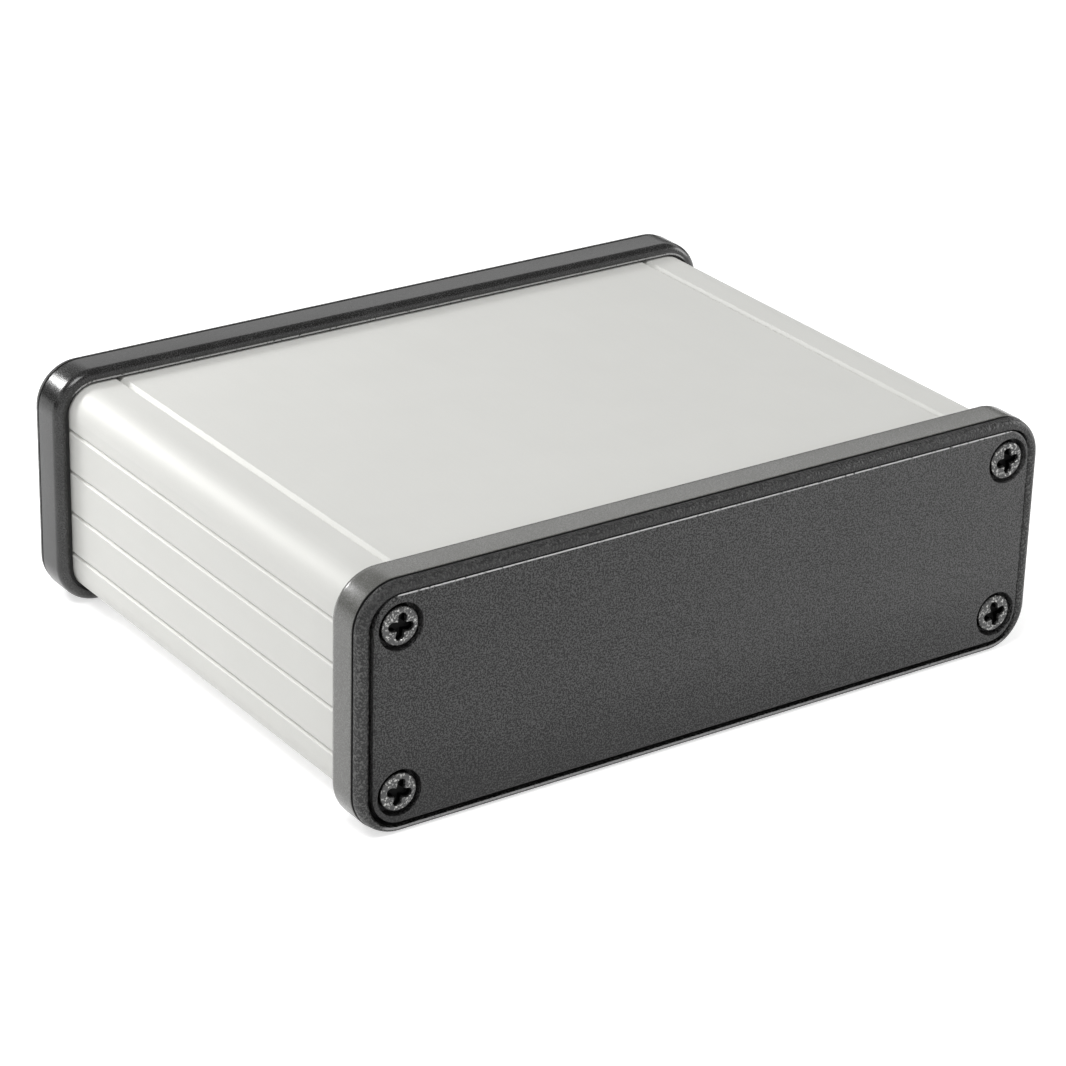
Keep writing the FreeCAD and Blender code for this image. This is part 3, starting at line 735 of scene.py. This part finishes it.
# %% Eight screws
def closed_turned_mesh(name, points):
    """A mesh of rings whose first and last ring are single points on the axis."""
    rings, around = points.shape[:2]
    inner = points[1:-1].reshape(-1, 3)
    vertices = np.concatenate([inner, points[:1, 0], points[-1:, 0]])
    here = np.arange(around)
    following = (here + 1) % around
    ring = np.arange(rings - 3)[:, None] * around
    quads = np.stack([ring + here, ring + following, ring + around + following, ring + around + here], -1)
    first_pole = np.full(around, len(inner))
    last_ring = (rings - 3) * around
    first_fan = np.stack([first_pole, following, here], axis=-1)
    last_fan = np.stack([first_pole + 1, last_ring + here, last_ring + following], axis=-1)
    mesh = bpy.data.meshes.new(name)
    faces = quads.reshape(-1, 4).tolist() + first_fan.tolist() + last_fan.tolist()
    mesh.from_pydata(vertices.tolist(), [], faces)
    mesh.shade_smooth()
    mesh.set_sharp_from_angle(angle=math.radians(50))
    return mesh


TURNS = (9, -6, -12, 14)
HEAD_HEIGHT = 1.75 * MM
HEAD_PLAY = 0.17 * MM


def make_screw(node, is_rear, turn):
    """A detailed screw in the place of its plain solid, turned about its axis by some degrees."""
    low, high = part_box(node)
    head_radius = (high.x - low.x) / 2 - HEAD_PLAY
    length = (high.y - low.y) - HEAD_HEIGHT
    mesh = closed_turned_mesh(node + "_threaded", screw_points(head_radius, HEAD_HEIGHT, length))
    seat = high.y - HEAD_HEIGHT if is_rear else low.y + HEAD_HEIGHT
    centre = Vector(((low.x + high.x) / 2, seat, (low.z + high.z) / 2))
    facing = Matrix.Rotation(math.pi if is_rear else 0.0, 4, "Z")
    mesh.transform(Matrix.Translation(centre) @ facing @ Matrix.Rotation(math.radians(turn), 4, "Y"))
    mesh.materials.append(steel)
    screw = bpy.data.objects.new(mesh.name, mesh)
    bpy.context.scene.collection.objects.link(screw)
    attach(screw, "root")
    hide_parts(node)
    return screw


for end in ENDS:
    for number, turn in enumerate(TURNS, start=1):
        screw = make_screw(f"{end}_screw_{number}", end == "rear", turn)
print(f"each screw has {len(screw.data.polygons)} faces, {signed_volume(screw.data) * 1e9:.1f} mm3")

# %% [markdown]
# The camera stands to the front left, 25 degrees above the table and half a metre off, with a long
# lens as for a product picture. Its place follows from a few numbers that describe the view: the
# bearing, the height angle, a slight lean of the horizon, the distance, the point that it would aim
# at and how far it is shifted from there. The length of its lens is given as a fitted camera's is,
# in pixels of the picture. A Track To constraint would aim it too, but not lean it.

# %% Camera
BEARING = 34.969
HEIGHT_ANGLE = 24.786
LEAN = 1.574
DISTANCE = 477.47 * MM
AIM = Vector((0.0, -40.15 * MM, 17.4 * MM))
AIM_OFFSET = (-22.372 * MM, 10.155 * MM)
SENSOR = 36.0
FOCAL_PIXELS = 3732.821
PICTURE_PIXELS = 1066
LENS = FOCAL_PIXELS / PICTURE_PIXELS * SENSOR


def add_camera():
    """The camera on a sphere round the point that it aims at, shifted in its own plane."""
    bearing, rise, lean = (math.radians(angle) for angle in (BEARING, HEIGHT_ANGLE, LEAN))
    back = Vector((
        -math.sin(bearing) * math.cos(rise),
        -math.cos(bearing) * math.cos(rise),
        math.sin(rise),
    ))
    level_right = Vector((math.cos(bearing), -math.sin(bearing), 0))
    level_up = back.cross(level_right)
    right = math.cos(lean) * level_right + math.sin(lean) * level_up
    up = -math.sin(lean) * level_right + math.cos(lean) * level_up
    camera_data = bpy.data.cameras.new("portrait")
    camera_data.lens = LENS
    camera_data.sensor_width = SENSOR
    camera_data.clip_start = 0.01
    camera_data.clip_end = 20
    camera = bpy.data.objects.new("portrait", camera_data)
    turned = Matrix((right, up, back)).transposed().to_4x4()
    place = AIM + back * DISTANCE + right * AIM_OFFSET[0] + up * AIM_OFFSET[1]
    camera.matrix_world = Matrix.Translation(place) @ turned
    bpy.context.scene.collection.objects.link(camera)
    bpy.context.scene.camera = camera
    return camera


camera = add_camera()
print("camera at", [round(c, 4) for c in camera.location])

# %% [markdown]
# The table is plain and pale, so that the case keeps its shadow. It also glows, for the camera and
# for what the case mirrors, and more so far from the case, so that it reads white. The glow adds no
# evenly scattered light. A brighter table would light the case's sides from below.

# %% Table
TABLE_HALF = 3.0
TABLE_WHITE = 0.75
TABLE_GLOW = 0.58
GLOW_GROWS = (0.2, 0.8)


def seen_directly(recipe):
    """1 for a ray from the camera, or one mirrored or passed through by something it sees."""
    straight = recipe.node("ShaderNodeLightPath", output="Is Camera Ray")
    mirrored = recipe.node("ShaderNodeLightPath", output="Is Glossy Ray")
    passed = recipe.node("ShaderNodeLightPath", output="Is Transmission Ray")
    return straight.sum("MAXIMUM", straight.sum("MAXIMUM", straight, mirrored), passed)


def add_table():
    """One square at the height 0, with a diffuse white and a glow added to it."""
    corners = [(x * TABLE_HALF, y * TABLE_HALF, 0) for x, y in ((-1, -1), (1, -1), (1, 1), (-1, 1))]
    mesh = bpy.data.meshes.new("table")
    mesh.from_pydata(corners, [], [(0, 1, 2, 3)])
    table = bpy.data.objects.new("table", mesh)
    bpy.context.scene.collection.objects.link(table)
    material = bpy.data.materials.new("table_white")
    material.use_nodes = True
    recipe = Recipe(material.node_tree)
    board = recipe.node("ShaderNodeBsdfDiffuse", inputs={"Color": grey(TABLE_WHITE)})
    distance = recipe.node("ShaderNodeVectorMath", {"operation": "LENGTH"}, {0: recipe.place()}, "Value")
    strength = seen_directly(recipe) * (TABLE_GLOW + distance.ramp(*GLOW_GROWS) * (1 - TABLE_GLOW))
    glow = recipe.node("ShaderNodeEmission", inputs={"Color": grey(1.0), "Strength": strength})
    both = recipe.node("ShaderNodeAddShader", inputs={0: board, 1: glow})
    recipe.node("ShaderNodeOutputMaterial", inputs={"Surface": both})
    mesh.materials.append(material)


add_table()
print("table:", 2 * TABLE_HALF, "m square")

# %% [markdown]
# The case stands in a round room that is bright in front and in one band behind, at the height that
# the case's top mirrors, and dim elsewhere. Satin metal has little colour of its own: its greys are
# mostly this room, so the room comes before any lamp. The glossy plastic mirrors the dim parts, and
# that keeps it dark. A picture of a real studio wrapped round the scene would do as well, but it is
# one more file. The camera itself sees plain white in its place.

# %% Dome
FRONT_SKY = 1.0
FRONT_EDGE = (-0.15, 0.35)
BACKDROP = 1.35
BACKDROP_STARTS = (0.24, 0.34)
BACKDROP_ENDS = (0.48, 0.60)
DIM = 0.10
CEILING = 0.22
CEILING_STARTS = (0.52, 0.66)


def add_dome():
    """The world's brightness from two shares of a direction: how far ahead and how far up it goes."""
    world = bpy.data.worlds.new("dome")
    bpy.context.scene.world = world
    world.use_nodes = True
    recipe = Recipe(world.node_tree)
    direction = recipe.node("ShaderNodeTexCoord", output="Generated")
    ahead, rise = (
        recipe.node("ShaderNodeSeparateXYZ", inputs={0: direction}, output=axis) for axis in (1, 2)
    )
    in_backdrop = rise.ramp(*BACKDROP_STARTS) * (1 - rise.ramp(*BACKDROP_ENDS))
    in_front = (0 - ahead).ramp(*FRONT_EDGE)
    low = in_front * FRONT_SKY + (1 - in_front) * (in_backdrop * (BACKDROP - DIM) + DIM)
    high = rise.ramp(*CEILING_STARTS)
    level = (1 - high) * low + high * CEILING
    light = recipe.node("ShaderNodeBackground", inputs={"Color": grey(1.0), "Strength": level})
    white = recipe.node("ShaderNodeBackground", inputs={"Color": grey(1.0)})
    camera_ray = recipe.node("ShaderNodeLightPath", output="Is Camera Ray")
    sky = recipe.node("ShaderNodeMixShader", inputs={0: camera_ray, 1: light, 2: white})
    recipe.node("ShaderNodeOutputWorld", inputs={"Surface": sky})


add_dome()
print("dome nodes:", len(bpy.context.scene.world.node_tree.nodes))

# %% [markdown]
# Three soft boxes draw the highlights: one high on the left for the body's rounded edge, one low on
# the right, and a small one close behind the rear frame's corner. Sun or point lamps would be
# smaller than any lamp in a studio and would leave hard dots on the plastic.

# %% Soft boxes
def add_soft_box(name, place, size, brightness):
    """A square lamp facing the case, whose surface has this brightness, where 1 is white.

    A lamp that sends the same brightness each way has the power pi times brightness times area.
    """
    light = bpy.data.lights.new(name, "AREA")
    light.shape = "SQUARE"
    light.size = size
    light.energy = brightness * math.pi * size * size
    lamp = bpy.data.objects.new(name, light)
    lamp.location = Vector(place)
    lamp.rotation_mode = "QUATERNION"
    lamp.rotation_quaternion = lamp.location.to_track_quat("Z", "Y")
    lamp.visible_camera = False
    bpy.context.scene.collection.objects.link(lamp)
    print(f"{name}: {light.energy:.2f} W")


add_soft_box("soft_box_behind_left", (-102 * MM, 128 * MM, 95 * MM), size=30 * MM, brightness=34)
add_soft_box("soft_box_above_left", (-240 * MM, -137 * MM, 626 * MM), size=300 * MM, brightness=9)
add_soft_box("soft_box_right", (360 * MM, -60 * MM, 110 * MM), size=150 * MM, brightness=5)

# %% [markdown]
# The picture keeps the standard view transform, in which a colour comes out as it was written.

# %% View transform
bpy.context.scene.view_settings.view_transform = "Standard"
print("view transform:", bpy.context.scene.view_settings.view_transform)
